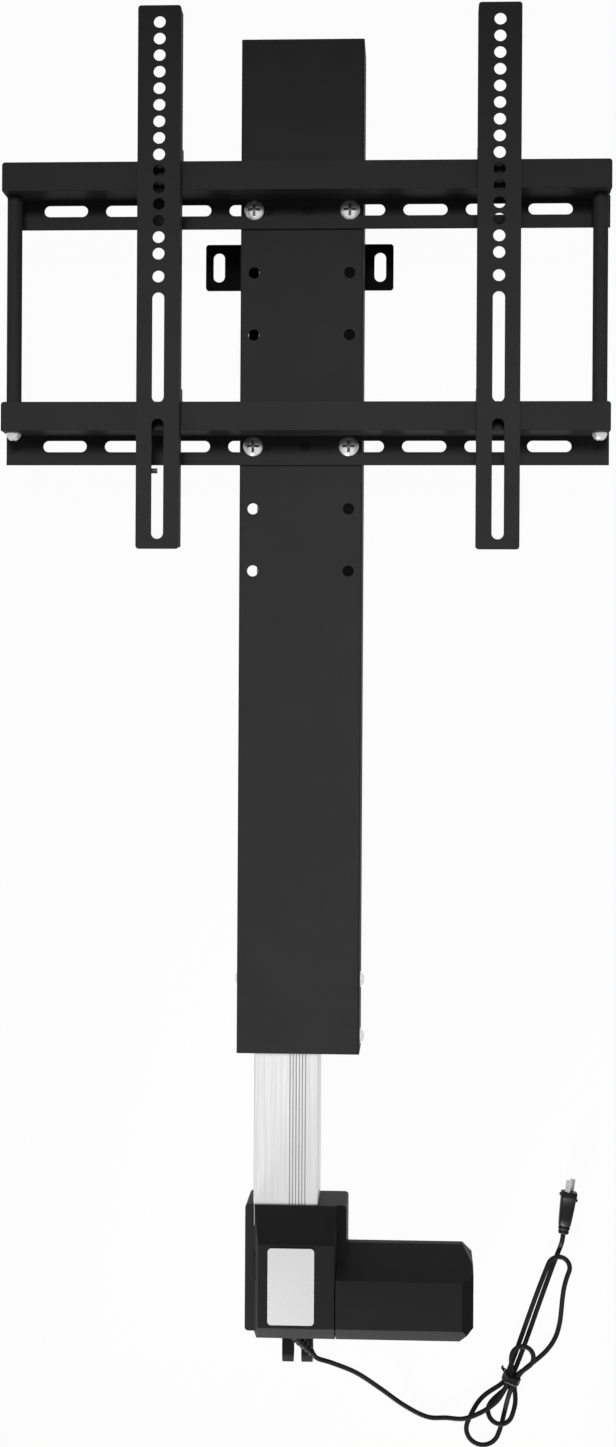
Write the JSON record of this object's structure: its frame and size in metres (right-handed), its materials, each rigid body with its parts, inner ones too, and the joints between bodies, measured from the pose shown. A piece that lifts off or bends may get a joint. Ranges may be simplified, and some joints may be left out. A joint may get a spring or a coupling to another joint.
{
  "type": "tv lift mechanism",
  "caption": "Motorised telescoping screw column with a sliding sleeve, slotted rails and hooked arms that raises and lowers a television; lies on its back with its mains cord.",
  "frame": {"origin": "on the wall bracket's back face, on the sleeve's centre line and level with the two ear slots", "axes": "+X to the right, +Y the direction of lift, +Z out of the front; the lift lies on its back on z = 0, as pictured, with its wall side down"},
  "size_m": [0.485, 1.1629, 0.108],
  "materials": {
    "black_paint": "satin",
    "bright_steel": "polished",
    "plain_steel": "brushed",
    "black_screw": "satin",
    "column_aluminium": "satin",
    "cast_aluminium": "cast",
    "gear_brass": "machined",
    "pale_nylon": "matte",
    "black_plastic": "matte",
    "white_plate": "gloss",
    "board_green": "matte",
    "cord_black": "matte"
  },
  "bodies": {
    "base": {"wall_bracket": "black_paint", "bracket_spacer": "plain_steel", "bracket_screws": "bright_steel", "inner_column": "column_aluminium", "column_top_guide": "pale_nylon", "limit_switches": "black_plastic", "gearbox_back_shell": "black_plastic", "gearbox_front_cover": "black_plastic", "rating_plate": "white_plate", "housing_screws": "bright_steel", "gear_plate": "cast_aluminium", "upper_bearing": "plain_steel", "lower_bearing": "plain_steel", "base_clevis": "black_paint", "motor_cover": "black_plastic", "motor_can": "plain_steel", "motor_end_cap": "black_plastic", "control_board": "board_green", "worm_bush": "gear_brass", "strain_relief": "cord_black", "cord_lead": "cord_black", "cord_hank": "cord_black", "cord_tie": "cord_black", "cord_tail": "cord_black", "plug_body": "cord_black", "plug_blades": "bright_steel"},
    "carriage": {"outer_sleeve": "black_paint", "top_cap": "black_paint", "cap_screws": "bright_steel", "push_head": "cast_aluminium", "push_tube": "plain_steel", "drive_nut": "gear_brass", "sleeve_stiffener": "black_paint", "left_glide": "pale_nylon", "right_glide": "pale_nylon", "front_glide": "pale_nylon", "glide_screws": "bright_steel", "upper_rail": "black_paint", "lower_rail": "black_paint", "rail_screws": "bright_steel", "rail_nuts": "bright_steel", "left_side_tube": "black_paint", "right_side_tube": "black_paint", "side_tube_screws": "bright_steel"},
    "screw": {"lead_screw": "plain_steel", "screw_end_guide": "pale_nylon", "worm_wheel": "gear_brass"},
    "drive_shaft": {"motor_shaft": "plain_steel", "worm": "plain_steel"},
    "left_tv_arm": {"left_arm": "black_paint", "left_lock_screw": "black_screw"},
    "right_tv_arm": {"right_arm": "black_paint", "right_lock_screw": "black_screw"}
  },
  "joints": [
    {"name": "lift_slide", "type": "slide", "parent": "base", "child": "carriage", "axis": [0, 1, 0], "range_m": [-0.11, 0.59]},
    {"name": "screw_turn", "type": "hinge", "parent": "base", "child": "screw", "pos_m": [0, -0.8, 0.032], "axis": [0, 1, 0], "continuous": true},
    {"name": "worm_turn", "type": "hinge", "parent": "base", "child": "drive_shaft", "pos_m": [0, -0.84, 0.052], "axis": [1, 0, 0], "continuous": true},
    {"name": "left_arm_slide", "type": "slide", "parent": "carriage", "child": "left_tv_arm", "axis": [1, 0, 0], "range_m": [-0.0895, 0.0505]},
    {"name": "right_arm_slide", "type": "slide", "parent": "carriage", "child": "right_tv_arm", "axis": [1, 0, 0], "range_m": [-0.0965, 0.0435]}
  ],
  "couplings": [
    {"joint": "screw_turn", "follows": "lift_slide", "rad_per_m": -314.16},
    {"joint": "worm_turn", "follows": "lift_slide", "rad_per_m": 3769.9}
  ]
}
